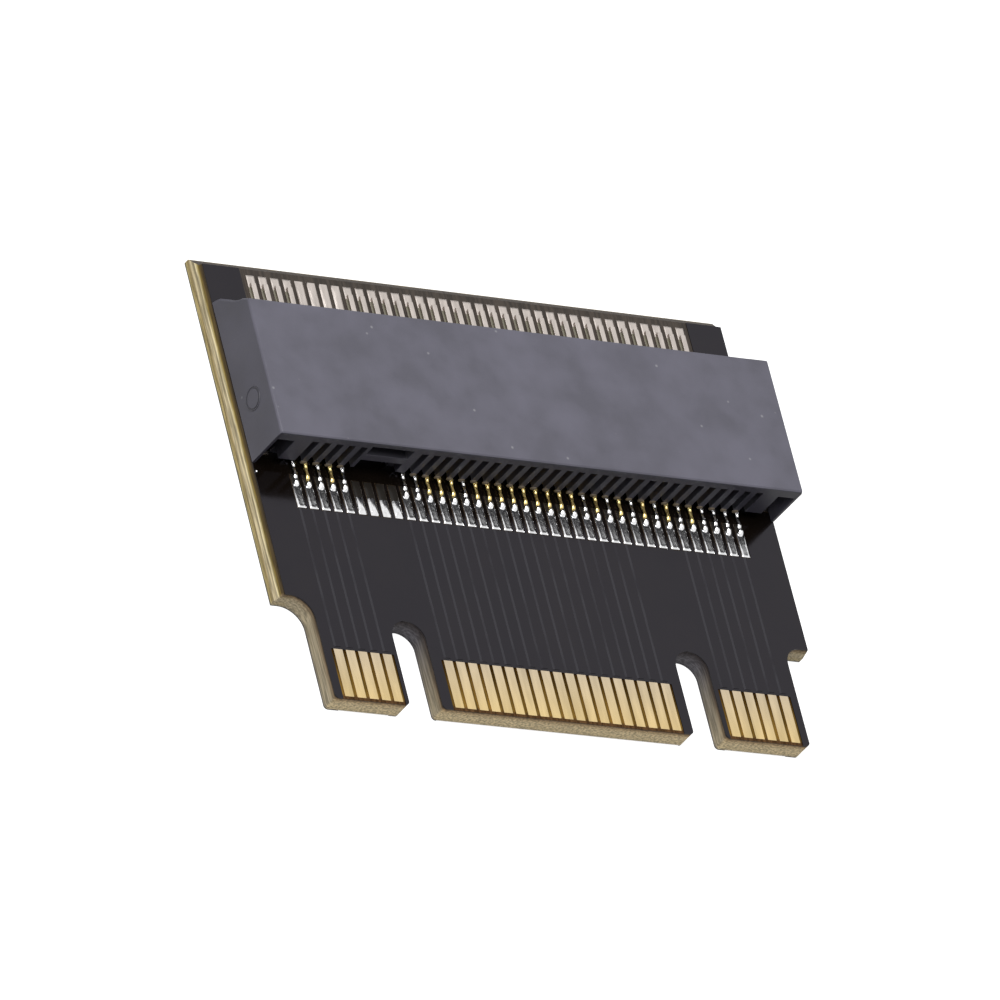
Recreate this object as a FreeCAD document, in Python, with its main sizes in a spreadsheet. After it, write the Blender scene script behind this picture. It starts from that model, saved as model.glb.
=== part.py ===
"""Extension adapter for a drive: a thin card whose lower end is a keyed card edge and whose
upper half carries a low 67-contact socket, so that a drive sits further from its host.

Frame: X across the card, +Y from the card edge to the socket mouth, +Z out of the
component face. The origin is under the middle of the card, on the face it lies on.
Inside each body Y is measured from the card edge. Lengths are in millimetres.
"""
import FreeCAD, Part
import math
import os
import Sketcher

DIMENSIONS = [
    # Card
    ("board_thickness", 0.8, "over both lacquer coats"),
    ("coat_thickness", 0.035, "copper and lacquer coats"),
    ("shoulder_height", 4.0, "card edge to the shoulders"),
    ("shoulder_step", 1.17, "side of the card edge to the side of the card"),
    ("left_shoulder_radius", 0.9, "routed corner, left"),
    ("right_shoulder_radius", 0.65, "routed corner, right"),
    ("tab_corner_radius", 0.15, "outer corners of the tabs"),
    ("tab_margin", 0.4, "outer fingers to the sides of the card edge"),
    ("notch_width", 1.38, "key notches"),
    ("notch_height", 3.4, "card edge to the top of a key notch"),
    ("top_margin", 0.76, "front row of pads to the card's top edge"),
    ("side_break", 0.14, "how far the scored side edges lean in at the front"),
    ("top_break", 0.5, "how far the scored top edge leans in at the front"),
    ("score_depth", 0.18, "depth of the front score"),
    ("score_run", 0.05, "sideways run of the front score"),
    ("break_depth", 0.56, "depth at which the snapped web ends"),
    # Fingers and pads
    ("contact_pitch", 0.5, "between contacts of one row"),
    ("finger_width", 0.36, "gold fingers"),
    ("finger_length", 1.88, "gold fingers"),
    ("finger_setback", 0.09, "card edge to the fingers"),
    ("relief_margin", 0.1, "bare board beside a group of fingers"),
    ("pad_width", 0.34, "socket pads"),
    ("pad_length", 1.34, "socket pads"),
    ("pad_margin", 0.03, "lacquer window round a pad"),
    ("row_relief", 0.2, "bare board round the front row of pads"),
    ("rear_pad_start", 7.61, "card edge to the rear row of pads"),
    ("rear_pad_reach", 1.63, "rear wall back to the outer ends of the rear pads"),
    ("front_pad_reach", 1.84, "lower jaw out to the outer ends of the front pads"),
    # Socket moulding
    ("slot_clearance", 0.17, "card slot beside a card edge of this width"),
    ("slot_gap", 0.9, "height of the card slot"),
    ("slot_floor", 0.55, "component face to the slot's floor"),
    ("groove_height", 0.19, "roof grooves over the slot"),
    ("roof_skin", 0.36, "moulding over the roof grooves"),
    ("ear_width", 0.88, "beside the slot"),
    ("roof_depth", 5.41, "rear wall to the front edge of the roof"),
    ("jaw_reach", 0.55, "lower jaw past the roof"),
    ("ear_reach", 1.07, "ears past the roof"),
    ("moulding_chamfer", 0.06, "outer edges of the moulding"),
    ("lead_in", 0.3, "chamfers of the slot's mouth"),
    ("key_clearance", 0.165, "key rib in a notch of this width"),
    ("key_rib_setback", 0.75, "roof's front edge to the key rib"),
    ("slit_clearance", 0.03, "contacts in their slits and grooves"),
    ("slit_depth", 0.86, "rear wall to the bottom of the slits"),
    ("slit_wall", 0.35, "between the slits and the slot"),
    ("slit_sill_drop", 0.25, "slot's roof down to the sill that the rear contacts cross"),
    ("roof_groove_setback", 0.71, "roof's front edge to the end of the roof grooves"),
    ("floor_groove_setback", 0.69, "slot's back to the start of the floor grooves"),
    ("floor_groove_base", 0.12, "component face to the floor grooves' bottom"),
    ("channel_height", 0.42, "channel under the comb, along the rear wall"),
    ("channel_depth", 0.5, "channel under the comb, along the rear wall"),
    ("window_margin", 0.3, "how much narrower the key window is than the missing contacts"),
    ("window_rise", 0.1, "window's upper side over the tops of the slits"),
    ("window_height", 0.5, "window at the key in the rear wall"),
    ("window_bar", 0.34, "bar between the window and the recess under it"),
    ("recess_depth", 0.7, "depth of the window and the recess"),
    ("pocket_height", 1.55, "end pockets"),
    ("pocket_depth", 1.3, "end pockets"),
    ("pocket_outer_wall", 0.12, "beside an end pocket"),
    ("pocket_inner_wall", 0.08, "between an end pocket and the slot"),
    ("peg_inset", 0.1, "side of the slot in to the middle of a peg"),
    ("peg_setback", 3.3, "rear wall to the pegs"),
    ("left_peg", 1.1, "diameter"),
    ("right_peg", 1.6, "diameter"),
    ("peg_recess", 0.1, "back of the card to the end of a peg"),
    ("peg_clearance", 0.05, "round a peg in its hole"),
    # Contacts
    ("contact_width", 0.2, "stamped contacts"),
    ("contact_thickness", 0.12, "stamped contacts"),
    ("waist_width", 0.12, "neck of a rear contact's tail"),
    ("waist_margin", 0.05, "bends of a tail to its neck"),
    ("bend", 0.2, "corner taken off where a contact turns"),
    ("rear_toe", 0.64, "rear wall back to the toe of the rear feet"),
    ("rear_heel", 0.46, "rear wall back to the heel of the rear feet"),
    ("rear_step", 0.38, "rear wall back to the top of the step in a rear tail"),
    ("rear_tail", 0.15, "middle of a rear tail where it enters the moulding"),
    ("rear_post", 0.14, "rear wall in to the rear contacts' posts"),
    ("front_toe", 0.36, "outer ends of the front pads back to the toes"),
    ("front_heel", 0.7, "lower jaw out to the heel of the front feet"),
    ("front_overhang", 0.3, "lower jaw out to the upper bend of the tails"),
    ("beam_clearance", 0.02, "roof grooves above the rear contacts"),
    ("spring_lift", 0.15, "how far the springs stand into the slot"),
    ("spring_run", 1.0, "sloping part of a spring"),
    ("spring_tip", 0.4, "part of a spring past its contact point"),
    ("spring_margin", 0.4, "spring's tip to the end of its groove"),
    # Solder and hold-downs
    ("solder_film", 0.03, "solder under a contact's foot"),
    ("fillet_height", 0.14, "solder at a toe"),
    ("fillet_run", 0.3, "solder at a toe"),
    ("tin_height", 0.04, "tin on a bare pad"),
    ("tin_slope", 0.13, "sloping ends of the tin"),
    ("nail_thickness", 0.15, "metal nails in the end pockets"),
    ("nail_clearance", 0.09, "beside a nail in its pocket"),
    ("nail_setback", 0.4, "rear wall in to the nails' pads and feet"),
    ("nail_headroom", 0.3, "over a nail in its pocket"),
    ("nail_gap", 0.2, "behind a nail in its pocket"),
]

# Pin numbers count from the right; the middle of the card lies at this number.
CENTRE_PIN = 38
REAR_PINS = (75, 1)
FRONT_PINS = (74, 2)
REAR_GROUPS = {"key_side": (75, 67), "main": (57, 1)}
FRONT_GROUPS = {"key_side": (74, 68), "main": (58, 2)}
REAR_BARE = (65, 59)
FRONT_BARE = (66, 60)
FRONT_FINGERS = {"left": (75, 67), "middle": (57, 21), "right": (11, 1)}
BACK_FINGERS = {"left": (74, 68), "middle": (58, 20), "right": (10, 2)}
# Front edge of an ear from its toe up, as shares of its reach past the roof and of its height.
EAR_SHAPE = [(1.0, 0.05), (0.9, 0.21), (0.72, 0.35), (0.42, 0.56), (0.26, 0.725), (0.2, 0.825)]

# Places and sizes that follow from the dimensions.
KEY_M = f"({CENTRE_PIN} - 62.5) * dim.contact_pitch / 2"
KEY_B = f"({CENTRE_PIN} - 15.5) * dim.contact_pitch / 2"
HALF_TONGUE = f"(({CENTRE_PIN} - 1) * dim.contact_pitch / 2 + dim.finger_width / 2 + dim.tab_margin)"
HALF_BOARD = f"({HALF_TONGUE} + dim.shoulder_step)"
HALF_SLOT = f"({HALF_TONGUE} + dim.slot_clearance)"
HALF_SOCKET = f"({HALF_SLOT} + dim.ear_width)"
SOCKET_REAR = "(dim.rear_pad_start + dim.rear_pad_reach)"
ROOF_EDGE = f"({SOCKET_REAR} + dim.roof_depth)"
JAW_EDGE = f"({ROOF_EDGE} + dim.jaw_reach)"
FRONT_PAD_END = f"({JAW_EDGE} + dim.front_pad_reach)"
BOARD_LENGTH = f"({FRONT_PAD_END} + dim.top_margin)"
SLOT_BACK = f"({SOCKET_REAR} + dim.slit_depth + dim.slit_wall)"
SLOT_ROOF = "(dim.slot_floor + dim.slot_gap)"
SLIT_TOP = f"({SLOT_ROOF} + dim.groove_height)"
SOCKET_HEIGHT = f"({SLIT_TOP} + dim.roof_skin)"
SLIT_WIDTH = "(dim.contact_width + 2 * dim.slit_clearance)"
POCKET_WIDTH = "(dim.ear_width - dim.pocket_outer_wall - dim.pocket_inner_wall)"
NAIL_PAD_START = f"({SOCKET_REAR} + dim.nail_setback)"
NAIL_PAD_END = f"({SOCKET_REAR} + dim.pocket_depth - dim.nail_gap)"
FRONT_COAT = "(dim.board_thickness - dim.coat_thickness)"
FOOT = "(dim.solder_film + dim.contact_thickness / 2)"
# How far a cutting profile runs past the solid that it cuts.
PAST = "dim.board_thickness"
THROUGH = "4 * dim.board_thickness"

doc = FreeCAD.newDocument("extension_adapter")
dim = doc.addObject("Spreadsheet::Sheet", "dim")
for row, (alias, size, note) in enumerate(DIMENSIONS, start=1):
    dim.set(f"A{row}", note)
    dim.set(f"B{row}", str(size))
    dim.setAlias(f"B{row}", alias)
doc.recompute()

parts = []


def value(expression):
    """The number that an expression over the sheet stands for."""
    return float(dim.evalExpression(expression))


def pin_x(pin):
    """Place of a contact across the card."""
    return f"({CENTRE_PIN} - {pin}) * dim.contact_pitch / 2"


def pocket_x(side):
    """Middle of an end pocket across the card, left (-1) or right (1)."""
    return f"{side} * ({HALF_SOCKET} - dim.pocket_outer_wall - {POCKET_WIDTH} / 2)"


def new_part(label, level="0"):
    """A body whose own origin is at the card edge, on the back face or at a level over it."""
    body = doc.addObject("PartDesign::Body", label)
    body.Label = label
    body.setExpression(".Placement.Base.y", f"-{BOARD_LENGTH} / 2")
    body.setExpression(".Placement.Base.z", level)
    parts.append(body)
    return body


def plane_sketch(body, name, role, offset="0"):
    """A sketch on one of the body's own planes, moved along the plane's normal."""
    plane = next(item for item in body.Origin.OriginFeatures if item.Role == role)
    sketch = body.newObject("Sketcher::SketchObject", name)
    sketch.AttachmentSupport = [(plane, "")]
    sketch.MapMode = "FlatFace"
    sketch.setExpression(".AttachmentOffset.Base.z", offset)
    return sketch


def fix(sketch, axis, geometry, point, expression):
    """Hold a point of the sketch at a distance from its origin along one axis."""
    constraint = Sketcher.Constraint("Distance" + axis, -1, 1, geometry, point, value(expression))
    index = sketch.addConstraint(constraint)
    sketch.setExpression(f"Constraints[{index}]", expression)


def draw(sketch, points, closed=True):
    """Draw edges through points given as (x, y) or (x, y, centre x, centre y, turn).

    A point with a centre starts an arc about it to the next point; the turn is 1 for
    an arc that runs anticlockwise and -1 for one that runs clockwise.
    """
    places = [FreeCAD.Vector(value(point[0]), value(point[1]), 0) for point in points]
    last = len(points) if closed else len(points) - 1
    ends = []
    for number in range(last):
        start, stop = places[number], places[(number + 1) % len(points)]
        if len(points[number]) == 2:
            index = sketch.addGeometry(Part.LineSegment(start, stop))
            ends.append((index, 1, 2))
            continue
        centre = FreeCAD.Vector(value(points[number][2]), value(points[number][3]), 0)
        turn = points[number][4]
        first, second = (start, stop) if turn > 0 else (stop, start)
        circle = Part.Circle(centre, FreeCAD.Vector(0, 0, 1), (start - centre).Length)
        angles = [math.atan2(p.y - centre.y, p.x - centre.x) for p in (first, second)]
        index = sketch.addGeometry(Part.ArcOfCircle(circle, *angles))
        ends.append((index, 1, 2) if turn > 0 else (index, 2, 1))
        fix(sketch, "Y", index, 3, points[number][3])
    for number, (index, head, tail) in enumerate(ends):
        fix(sketch, "X", index, head, points[number][0])
        fix(sketch, "Y", index, head, points[number][1])
        if closed or number + 1 < last:
            after, after_head, _ = ends[(number + 1) % len(ends)]
            sketch.addConstraint(Sketcher.Constraint("Coincident", index, tail, after, after_head))
    if not closed:
        index, _, tail = ends[-1]
        fix(sketch, "X", index, tail, points[-1][0])
        fix(sketch, "Y", index, tail, points[-1][1])


def rectangle(left, right, low, high):
    """The four corners of a rectangle."""
    return [(left, low), (right, low), (right, high), (left, high)]


def centred(middle, half_width, low, high):
    """The four corners of a rectangle about a middle line."""
    return rectangle(f"{middle} - ({half_width})", f"{middle} + {half_width}", low, high)


def extrude(body, kind, sketch, length, both_ways=False, reverse=False):
    """Pad or pocket a sketch by a length."""
    feature = body.newObject("PartDesign::" + kind, f"{sketch.Name}_{kind.lower()}")
    feature.Profile = sketch
    feature.SideType = "Symmetric" if both_ways else "One side"
    feature.Reversed = reverse
    feature.setExpression(".Length", length)
    body.Tip = feature
    return feature


def cut_through(body, name, outlines):
    """Cut flat outlines through a board or coat."""
    sketch = plane_sketch(body, name, "XY_Plane")
    for points in outlines:
        draw(sketch, points)
    return extrude(body, "Pocket", sketch, THROUGH, both_ways=True)


def repeat(body, features, pins):
    """Repeat features along the row of contacts from one pin to another."""
    pattern = body.newObject("PartDesign::LinearPattern", f"{features[0].Name}_row")
    pattern.Originals = features
    axis = next(item for item in body.Origin.OriginFeatures if item.Role == "X_Axis")
    pattern.Direction = (axis, [""])
    pattern.Mode = "Spacing"
    pattern.setExpression(".Offset", "dim.contact_pitch")
    pattern.Occurrences = (pins[0] - pins[1]) // 2 + 1
    body.Tip = pattern


def profile_row(body, kind, name, points, width, pins):
    """Pad or pocket a side profile at each contact of a row."""
    sketch = plane_sketch(body, name, "YZ_Plane", pin_x(pins[0]))
    draw(sketch, points)
    repeat(body, [extrude(body, kind, sketch, width, both_ways=True)], pins)


def strip_row(label, low, high, width, pins, level):
    """A part of flat copper strips, lengthways from low to high, one at each contact of a row."""
    body = new_part(label)
    sketch = plane_sketch(body, f"{label}_strip", "XY_Plane", level)
    draw(sketch, centred(pin_x(pins[0]), f"{width} / 2", low, high))
    repeat(body, [extrude(body, "Pad", sketch, "dim.coat_thickness")], pins)


def outline_points(half_width, top):
    """The card's outline with its shoulders, tabs and two key notches."""
    corner = "dim.tab_corner_radius"
    shoulder = "dim.shoulder_height"
    left_arc = "dim.left_shoulder_radius"
    right_arc = "dim.right_shoulder_radius"
    points = []
    tab_start = f"-{HALF_TONGUE}"
    for key in (KEY_M, KEY_B):
        left = f"{key} - dim.notch_width / 2"
        right = f"{key} + dim.notch_width / 2"
        bend = "dim.notch_height - dim.notch_width / 2"
        points += [
            (f"{tab_start} + {corner}", "0"),
            (f"{left} - {corner}", "0", f"{left} - {corner}", corner, 1),
            (left, corner),
            (left, bend, key, bend, -1),
            (right, bend),
            (right, corner, f"{right} + {corner}", corner, 1),
        ]
        tab_start = right
    right_turn = (f"{HALF_TONGUE} + {right_arc}", f"{shoulder} - {right_arc}")
    left_turn = (f"-{HALF_TONGUE} - {left_arc}", f"{shoulder} - {left_arc}")
    points += [
        (f"{tab_start} + {corner}", "0"),
        (f"{HALF_TONGUE} - {corner}", "0", f"{HALF_TONGUE} - {corner}", corner, 1),
        (HALF_TONGUE, corner),
        (HALF_TONGUE, right_turn[1], *right_turn, -1),
        (right_turn[0], shoulder),
        (half_width, shoulder),
        (half_width, top),
        (f"-({half_width})", top),
        (f"-({half_width})", shoulder),
        (left_turn[0], shoulder, *left_turn, -1),
        (f"-{HALF_TONGUE}", left_turn[1]),
        (f"-{HALF_TONGUE}", corner, f"-{HALF_TONGUE} + {corner}", corner, 1),
    ]
    return points


def peg_circle(sketch, side, radius):
    """A circle at the left (-1) or right (1) locating peg."""
    across = f"{side} * ({HALF_SLOT} - dim.peg_inset)"
    along = f"{SOCKET_REAR} + dim.peg_setback"
    centre = FreeCAD.Vector(value(across), value(along), 0)
    index = sketch.addGeometry(Part.Circle(centre, FreeCAD.Vector(0, 0, 1), value(radius)))
    fix(sketch, "X", index, 3, across)
    fix(sketch, "Y", index, 3, along)
    number = sketch.addConstraint(Sketcher.Constraint("Radius", index, value(radius)))
    sketch.setExpression(f"Constraints[{number}]", radius)


def peg_holes(body):
    """Holes through the board or a coat for the socket's two pegs."""
    sketch = plane_sketch(body, f"{body.Name}_peg_holes", "XY_Plane")
    peg_circle(sketch, -1, "dim.left_peg / 2 + dim.peg_clearance")
    peg_circle(sketch, 1, "dim.right_peg / 2 + dim.peg_clearance")
    extrude(body, "Pocket", sketch, THROUGH, both_ways=True)


def break_profile(edge):
    """Wedge that the score and the snapped web take off an edge, outwards from its front line."""
    front, land, sign = edge
    outside = f"{sign}({land} + {PAST})"
    scored = f"{sign}({front} + dim.score_run)"
    return [
        (f"{sign}({front})", f"dim.board_thickness + {PAST}"),
        (f"{sign}({front})", "dim.board_thickness"),
        (scored, "dim.board_thickness - dim.score_depth"),
        (f"{sign}({land})", "dim.board_thickness - dim.break_depth"),
        (outside, "dim.board_thickness - dim.break_depth"),
        (outside, f"dim.board_thickness + {PAST}"),
    ]


def make_laminate():
    """Glass-epoxy core: routed outline, scored and snapped side and top edges, peg holes."""
    body = new_part("board_laminate")
    sketch = plane_sketch(body, "core_outline", "XY_Plane", "dim.coat_thickness")
    draw(sketch, outline_points(HALF_BOARD, BOARD_LENGTH))
    extrude(body, "Pad", sketch, "dim.board_thickness - 2 * dim.coat_thickness")
    sketch = plane_sketch(body, "side_breaks", "XZ_Plane", f"-{BOARD_LENGTH} / 2")
    for sign in ("", "-"):
        draw(sketch, break_profile((f"{HALF_BOARD} - dim.side_break", HALF_BOARD, sign)))
    extrude(body, "Pocket", sketch, f"2 * {BOARD_LENGTH}", both_ways=True)
    sketch = plane_sketch(body, "top_break", "YZ_Plane")
    draw(sketch, break_profile((f"{BOARD_LENGTH} - dim.top_break", BOARD_LENGTH, "")))
    extrude(body, "Pocket", sketch, f"4 * {HALF_BOARD}", both_ways=True)
    peg_holes(body)


def finger_windows(body, groups):
    """Open a lacquer coat over each group of fingers, out past the card edge."""
    side = "dim.finger_width / 2 + dim.relief_margin"
    end = "dim.finger_setback + dim.finger_length"
    cut_through(body, f"{body.Name}_finger_windows", [
        rectangle(f"{pin_x(first)} - ({side})", f"{pin_x(last)} + {side}", f"-{PAST}", end)
        for first, last in groups.values()
    ])


def make_masks():
    """Black lacquer coats, open at the fingers, pads and peg holes."""
    front = new_part("front_solder_mask")
    sketch = plane_sketch(front, "front_mask_outline", "XY_Plane", FRONT_COAT)
    draw(sketch, outline_points(f"{HALF_BOARD} - dim.side_break", f"{BOARD_LENGTH} - dim.top_break"))
    extrude(front, "Pad", sketch, "dim.coat_thickness")
    finger_windows(front, FRONT_FINGERS)
    peg_holes(front)
    side = "dim.pad_width / 2 + dim.row_relief"
    cut_through(front, "front_row_window", [rectangle(
        f"{pin_x(FRONT_PINS[0])} - ({side})", f"{pin_x(FRONT_PINS[1])} + {side}",
        f"{FRONT_PAD_END} - dim.pad_length - dim.row_relief", f"{BOARD_LENGTH} + {PAST}",
    )])
    cut_through(front, "nail_windows", [
        centred(pocket_x(side), f"{POCKET_WIDTH} / 2", f"{NAIL_PAD_START} - dim.pad_margin",
                f"{NAIL_PAD_END} + dim.pad_margin")
        for side in (-1, 1)
    ])
    window = cut_through(front, "rear_pad_window", [centred(
        pin_x(REAR_PINS[0]), "dim.pad_width / 2 + dim.pad_margin",
        "dim.rear_pad_start - dim.pad_margin",
        "dim.rear_pad_start + dim.pad_length + dim.pad_margin",
    )])
    repeat(front, [window], REAR_PINS)
    back = new_part("back_solder_mask")
    sketch = plane_sketch(back, "back_mask_outline", "XY_Plane")
    draw(sketch, outline_points(HALF_BOARD, BOARD_LENGTH))
    extrude(back, "Pad", sketch, "dim.coat_thickness")
    finger_windows(back, BACK_FINGERS)
    peg_holes(back)


def make_copper():
    """Gold fingers, one part for each tab and face, and the pads of the socket and its nails."""
    low = "dim.finger_setback"
    high = f"{low} + dim.finger_length"
    for face, groups, level in (("front", FRONT_FINGERS, FRONT_COAT), ("back", BACK_FINGERS, "0")):
        for tab, pins in groups.items():
            strip_row(f"{face}_fingers_{tab}", low, high, "dim.finger_width", pins, level)
    low = "dim.rear_pad_start"
    strip_row("rear_pads", low, f"{low} + dim.pad_length", "dim.pad_width", REAR_PINS, FRONT_COAT)
    low = f"{FRONT_PAD_END} - dim.pad_length"
    strip_row("front_pads", low, FRONT_PAD_END, "dim.pad_width", FRONT_PINS, FRONT_COAT)
    body = new_part("hold_down_pads")
    sketch = plane_sketch(body, "nail_pads", "XY_Plane", FRONT_COAT)
    half_width = f"{POCKET_WIDTH} / 2 - dim.pad_margin"
    for side in (-1, 1):
        draw(sketch, centred(pocket_x(side), half_width, NAIL_PAD_START, NAIL_PAD_END))
    extrude(body, "Pad", sketch, "dim.coat_thickness")


def mould_block(body):
    """The moulding's outer form, with ears, softened at its ends."""
    soft = "dim.moulding_chamfer"
    sketch = plane_sketch(body, "ear_profile", "YZ_Plane")
    draw(sketch, [
        (SOCKET_REAR, "0"),
        (f"{ROOF_EDGE} + dim.ear_reach", "0"),
        *[(f"{ROOF_EDGE} + {along} * dim.ear_reach", f"{up} * {SOCKET_HEIGHT}")
          for along, up in EAR_SHAPE],
        (ROOF_EDGE, SOCKET_HEIGHT),
        (f"{SOCKET_REAR} + {soft}", SOCKET_HEIGHT),
        (SOCKET_REAR, f"{SOCKET_HEIGHT} - {soft}"),
    ])
    block = extrude(body, "Pad", sketch, f"2 * {HALF_SOCKET}", both_ways=True)
    doc.recompute()
    ends = [f"Edge{number}" for number, edge in enumerate(block.Shape.Edges, start=1)
            if edge.BoundBox.XLength < value(soft) and edge.BoundBox.ZMin > value(soft)]
    chamfer = body.newObject("PartDesign::Chamfer", "end_chamfers")
    chamfer.Base = (block, ends)
    chamfer.setExpression(".Size", soft)
    body.Tip = chamfer


def cut_slot(body):
    """The mouth between the ears, the card slot behind it and the rib that keys the drive."""
    toe = f"{ROOF_EDGE} + dim.ear_reach + {PAST}"
    sketch = plane_sketch(body, "mouth", "YZ_Plane")
    draw(sketch, [
        (SLOT_BACK, "dim.slot_floor"),
        (f"{JAW_EDGE} - dim.lead_in", "dim.slot_floor"),
        (JAW_EDGE, "dim.slot_floor - dim.lead_in"),
        (JAW_EDGE, f"-{PAST}"),
        (toe, f"-{PAST}"),
        (toe, f"{SOCKET_HEIGHT} + {PAST}"),
        (ROOF_EDGE, f"{SOCKET_HEIGHT} + {PAST}"),
        (ROOF_EDGE, f"{SLOT_ROOF} + dim.lead_in"),
        (f"{ROOF_EDGE} - dim.lead_in", SLOT_ROOF),
        (SLOT_BACK, SLOT_ROOF),
    ])
    extrude(body, "Pocket", sketch, f"2 * {HALF_SLOT}", both_ways=True)
    sketch = plane_sketch(body, "key_rib", "YZ_Plane", KEY_M)
    root = "dim.pocket_inner_wall"
    draw(sketch, rectangle(
        f"{SLOT_BACK} - {root}", f"{ROOF_EDGE} - dim.key_rib_setback",
        f"dim.slot_floor - {root}", f"{SLOT_ROOF} + {root}",
    ))
    extrude(body, "Pad", sketch, "dim.notch_width - 2 * dim.key_clearance", both_ways=True)


def cut_rear_wall(body):
    """Channel under the comb, end pockets, and the window and recess at the key."""
    head = f"{SLIT_TOP} + dim.window_rise"
    sill = f"{head} - dim.window_height"
    half_window = "2 * dim.contact_pitch - dim.window_margin / 2"
    half_channel = f"{HALF_SOCKET} - dim.pocket_outer_wall"
    below = f"-{PAST}"
    openings = {
        "channel": ("0", half_channel, below, "dim.channel_height", "dim.channel_depth"),
        "key_window": (KEY_M, half_window, sill, head, "dim.recess_depth"),
        "key_recess": (KEY_M, half_window, below, f"{sill} - dim.window_bar", "dim.recess_depth"),
    }
    for name, side in (("left_pocket", -1), ("right_pocket", 1)):
        openings[name] = (
            pocket_x(side), f"{POCKET_WIDTH} / 2", below, "dim.pocket_height", "dim.pocket_depth",
        )
    for name, (middle, half_width, low, high, depth) in openings.items():
        sketch = plane_sketch(body, name, "YZ_Plane", middle)
        draw(sketch, rectangle(f"{SOCKET_REAR} - {PAST}", f"{SOCKET_REAR} + {depth}", low, high))
        extrude(body, "Pocket", sketch, f"2 * ({half_width})", both_ways=True)


def cut_contact_slits(body):
    """Comb slits that run on as grooves in the roof, and grooves in the floor."""
    slit = [
        (f"{SOCKET_REAR} - {PAST}", f"-{PAST}"),
        (f"{SOCKET_REAR} + dim.slit_depth", f"-{PAST}"),
        (f"{SOCKET_REAR} + dim.slit_depth", f"{SLOT_ROOF} - dim.slit_sill_drop"),
        (f"{ROOF_EDGE} - dim.roof_groove_setback", f"{SLOT_ROOF} - dim.slit_sill_drop"),
        (f"{ROOF_EDGE} - dim.roof_groove_setback", SLIT_TOP),
        (f"{SOCKET_REAR} - {PAST}", SLIT_TOP),
    ]
    groove = rectangle(
        f"{SLOT_BACK} + dim.floor_groove_setback", f"{JAW_EDGE} + {PAST}",
        "dim.floor_groove_base", "dim.slot_floor + dim.slot_gap / 2",
    )
    for group in REAR_GROUPS:
        profile_row(body, "Pocket", f"slit_{group}", slit, SLIT_WIDTH, REAR_GROUPS[group])
        profile_row(body, "Pocket", f"groove_{group}", groove, SLIT_WIDTH, FRONT_GROUPS[group])


def make_housing():
    """One moulding: roof and lower jaw round the card slot, ears, comb, key rib and pegs."""
    body = new_part("socket_housing", "dim.board_thickness")
    mould_block(body)
    cut_slot(body)
    cut_rear_wall(body)
    cut_contact_slits(body)
    sketch = plane_sketch(body, "pegs", "XY_Plane")
    peg_circle(sketch, -1, "dim.left_peg / 2")
    peg_circle(sketch, 1, "dim.right_peg / 2")
    extrude(body, "Pad", sketch, "dim.board_thickness - dim.peg_recess", reverse=True)


def bent_strip(body, name, path, pin):
    """A stamped strip bent along a side path."""
    spine = plane_sketch(body, f"{name}_path", "YZ_Plane", pin_x(pin))
    draw(spine, path, closed=False)
    section = plane_sketch(body, f"{name}_section", "XZ_Plane", f"-({path[0][0]})")
    draw(section, centred(
        pin_x(pin), "dim.contact_width / 2",
        f"{path[0][1]} - dim.contact_thickness / 2", f"{path[0][1]} + dim.contact_thickness / 2",
    ))
    doc.recompute()
    strip = body.newObject("PartDesign::AdditivePipe", f"{name}_strip")
    strip.Profile = section
    strip.Spine = (spine, [f"Edge{number}" for number in range(1, len(path))])
    strip.Transition = "Right corner"
    body.Tip = strip
    return strip


def cut_waist(body, name, low, high, pin):
    """Narrow a strip to its neck, from both sides."""
    sketch = plane_sketch(body, f"{name}_waist", "XY_Plane")
    for side in (-1, 1):
        near = f"{pin_x(pin)} + {side} * dim.waist_width / 2"
        far = f"{pin_x(pin)} + {side} * dim.contact_pitch / 2"
        draw(sketch, rectangle(near, far, low, high))
    return extrude(body, "Pocket", sketch, THROUGH, both_ways=True)


def make_rear_contacts():
    """Roof springs: foot, stepped tail with a neck, post in its slit, beam, bent tip."""
    beam = f"({SLIT_TOP} - dim.beam_clearance - dim.contact_thickness / 2)"
    post = f"{SOCKET_REAR} + dim.rear_post"
    tip = f"{ROOF_EDGE} - dim.roof_groove_setback - dim.spring_margin"
    heel = f"{SOCKET_REAR} - dim.rear_heel"
    step = f"{SOCKET_REAR} - dim.rear_step"
    path = [
        (f"{SOCKET_REAR} - dim.rear_toe", FOOT),
        (heel, FOOT),
        (step, "dim.rear_tail"),
        (f"{post} - dim.bend", "dim.rear_tail"),
        (post, "dim.rear_tail + dim.bend"),
        (post, f"{beam} - dim.bend"),
        (f"{post} + dim.bend", beam),
        (f"{tip} - dim.spring_tip - dim.spring_run", beam),
        (f"{tip} - dim.spring_tip", f"{SLOT_ROOF} - dim.spring_lift + dim.contact_thickness / 2"),
        (tip, f"{SLOT_ROOF} + dim.contact_thickness / 2"),
    ]
    for group, pins in REAR_GROUPS.items():
        body = new_part(f"rear_contacts_{group}", "dim.board_thickness")
        strip = bent_strip(body, f"rear_{group}", path, pins[0])
        neck = (f"{step} + dim.waist_margin", f"{post} - dim.bend - dim.waist_margin")
        waist = cut_waist(body, f"rear_{group}", *neck, pins[0])
        repeat(body, [strip, waist], pins)


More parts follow.
